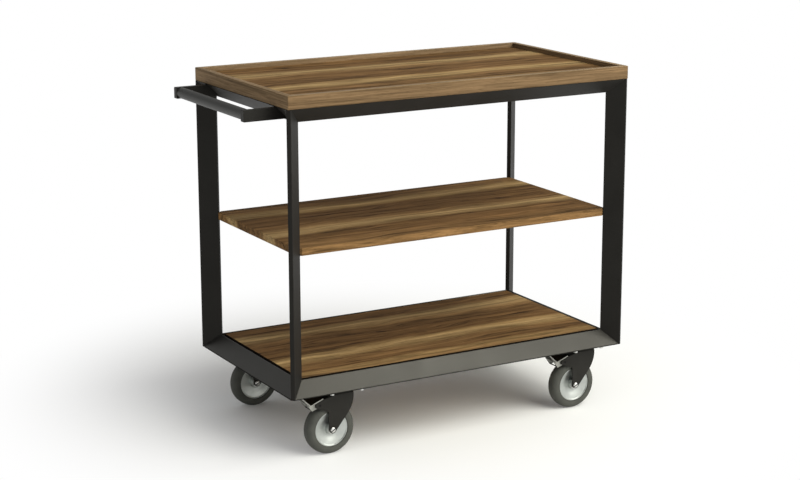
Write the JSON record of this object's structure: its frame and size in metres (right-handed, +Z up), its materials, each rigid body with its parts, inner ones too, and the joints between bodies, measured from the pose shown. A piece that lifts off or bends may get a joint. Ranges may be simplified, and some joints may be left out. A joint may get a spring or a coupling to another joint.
{
  "type": "serving trolley",
  "caption": "Serving trolley with a lipped wooden tray, two wooden shelves, a mitred flat-tube steel frame, an end push handle and braked swivel casters.",
  "frame": {"origin": "on the floor, under the middle of the overall length, handle included", "axes": "+X along the length, away from the push handle; +Y across the depth, away from the viewer; +Z up"},
  "size_m": [1.0856, 0.5544, 0.9339],
  "materials": {
    "walnut": "oiled walnut boards with streaked grain",
    "frame_steel": "satin black powder coat",
    "grip_steel": "satin dark grey powder coat",
    "caster_steel": "black painted pressed steel",
    "tyre_rubber": "matte grey rubber",
    "wheel_centre": "satin turned aluminium",
    "zinc_steel": "bright zinc plate"
  },
  "bodies": {
    "trolley_frame": {"bottom_rail_front": "frame_steel", "bottom_rail_left": "frame_steel", "bottom_rail_rear": "frame_steel", "bottom_rail_right": "frame_steel", "caster_bolts": "zinc_steel", "caster_nuts": "zinc_steel", "caster_plate_front_left": "caster_steel", "caster_plate_front_right": "caster_steel", "caster_plate_rear_left": "caster_steel", "caster_plate_rear_right": "caster_steel", "cross_member_left": "frame_steel", "cross_member_right": "frame_steel", "handle_arm_front": "frame_steel", "handle_arm_rear": "frame_steel", "handle_grip": "grip_steel", "kingpins": "zinc_steel", "leg_front_left": "frame_steel", "leg_front_right": "frame_steel", "leg_rear_left": "frame_steel", "leg_rear_right": "frame_steel", "lower_board": "walnut", "middle_shelf": "walnut", "shelf_tabs": "frame_steel", "swivel_races": "caster_steel", "top_rail_front": "frame_steel", "top_rail_left": "frame_steel", "top_rail_rear": "frame_steel", "top_rail_right": "frame_steel", "tray_lip_front": "walnut", "tray_lip_left": "walnut", "tray_lip_rear": "walnut", "tray_lip_right": "walnut", "tray_panel": "walnut", "tray_tabs": "frame_steel", "wood_screws": "zinc_steel"},
    "swivel_front_left": {"caster_fork_front_left": "caster_steel", "caster_axle_front_left": "zinc_steel"},
    "wheel_front_left": {"caster_tyre_front_left": "tyre_rubber", "caster_rim_front_left": "wheel_centre", "caster_bearing_front_left": "zinc_steel"},
    "pedal_front_left": {"brake_pedal_front_left": "zinc_steel"},
    "swivel_front_right": {"caster_fork_front_right": "caster_steel", "caster_axle_front_right": "zinc_steel"},
    "wheel_front_right": {"caster_tyre_front_right": "tyre_rubber", "caster_rim_front_right": "wheel_centre", "caster_bearing_front_right": "zinc_steel"},
    "pedal_front_right": {"brake_pedal_front_right": "zinc_steel"},
    "swivel_rear_left": {"caster_fork_rear_left": "caster_steel", "caster_axle_rear_left": "zinc_steel"},
    "wheel_rear_left": {"caster_tyre_rear_left": "tyre_rubber", "caster_rim_rear_left": "wheel_centre", "caster_bearing_rear_left": "zinc_steel"},
    "pedal_rear_left": {"brake_pedal_rear_left": "zinc_steel"},
    "swivel_rear_right": {"caster_fork_rear_right": "caster_steel", "caster_axle_rear_right": "zinc_steel"},
    "wheel_rear_right": {"caster_tyre_rear_right": "tyre_rubber", "caster_rim_rear_right": "wheel_centre", "caster_bearing_rear_right": "zinc_steel"},
    "pedal_rear_right": {"brake_pedal_rear_right": "zinc_steel"}
  },
  "joints": [
    {"name": "swivel_front_left", "type": "hinge", "parent": "trolley_frame", "child": "swivel_front_left", "pos_m": [-0.2874, -0.22265, 0.1727], "axis": [0, 0, 1], "continuous": true},
    {"name": "spin_front_left", "type": "hinge", "parent": "swivel_front_left", "child": "wheel_front_left", "pos_m": [-0.329, -0.22265, 0.067], "axis": [0, 1, 0], "continuous": true},
    {"name": "brake_front_left", "type": "hinge", "parent": "swivel_front_left", "child": "pedal_front_left", "pos_m": [-0.36499, -0.22265, 0.13733], "axis": [0, -1, 0], "range_deg": [0, 15]},
    {"name": "swivel_front_right", "type": "hinge", "parent": "trolley_frame", "child": "swivel_front_right", "pos_m": [0.4552, -0.22265, 0.1727], "axis": [0, 0, 1], "continuous": true},
    {"name": "spin_front_right", "type": "hinge", "parent": "swivel_front_right", "child": "wheel_front_right", "pos_m": [0.4136, -0.22265, 0.067], "axis": [0, 1, 0], "continuous": true},
    {"name": "brake_front_right", "type": "hinge", "parent": "swivel_front_right", "child": "pedal_front_right", "pos_m": [0.37761, -0.22265, 0.13733], "axis": [0, -1, 0], "range_deg": [0, 15]},
    {"name": "swivel_rear_left", "type": "hinge", "parent": "trolley_frame", "child": "swivel_rear_left", "pos_m": [-0.2874, 0.22265, 0.1727], "axis": [0, 0, 1], "continuous": true},
    {"name": "spin_rear_left", "type": "hinge", "parent": "swivel_rear_left", "child": "wheel_rear_left", "pos_m": [-0.329, 0.22265, 0.067], "axis": [0, 1, 0], "continuous": true},
    {"name": "brake_rear_left", "type": "hinge", "parent": "swivel_rear_left", "child": "pedal_rear_left", "pos_m": [-0.36499, 0.22265, 0.13733], "axis": [0, -1, 0], "range_deg": [0, 15]},
    {"name": "swivel_rear_right", "type": "hinge", "parent": "trolley_frame", "child": "swivel_rear_right", "pos_m": [0.4552, 0.22265, 0.1727], "axis": [0, 0, 1], "continuous": true},
    {"name": "spin_rear_right", "type": "hinge", "parent": "swivel_rear_right", "child": "wheel_rear_right", "pos_m": [0.4136, 0.22265, 0.067], "axis": [0, 1, 0], "continuous": true},
    {"name": "brake_rear_right", "type": "hinge", "parent": "swivel_rear_right", "child": "pedal_rear_right", "pos_m": [0.37761, 0.22265, 0.13733], "axis": [0, -1, 0], "range_deg": [0, 15]}
  ]
}
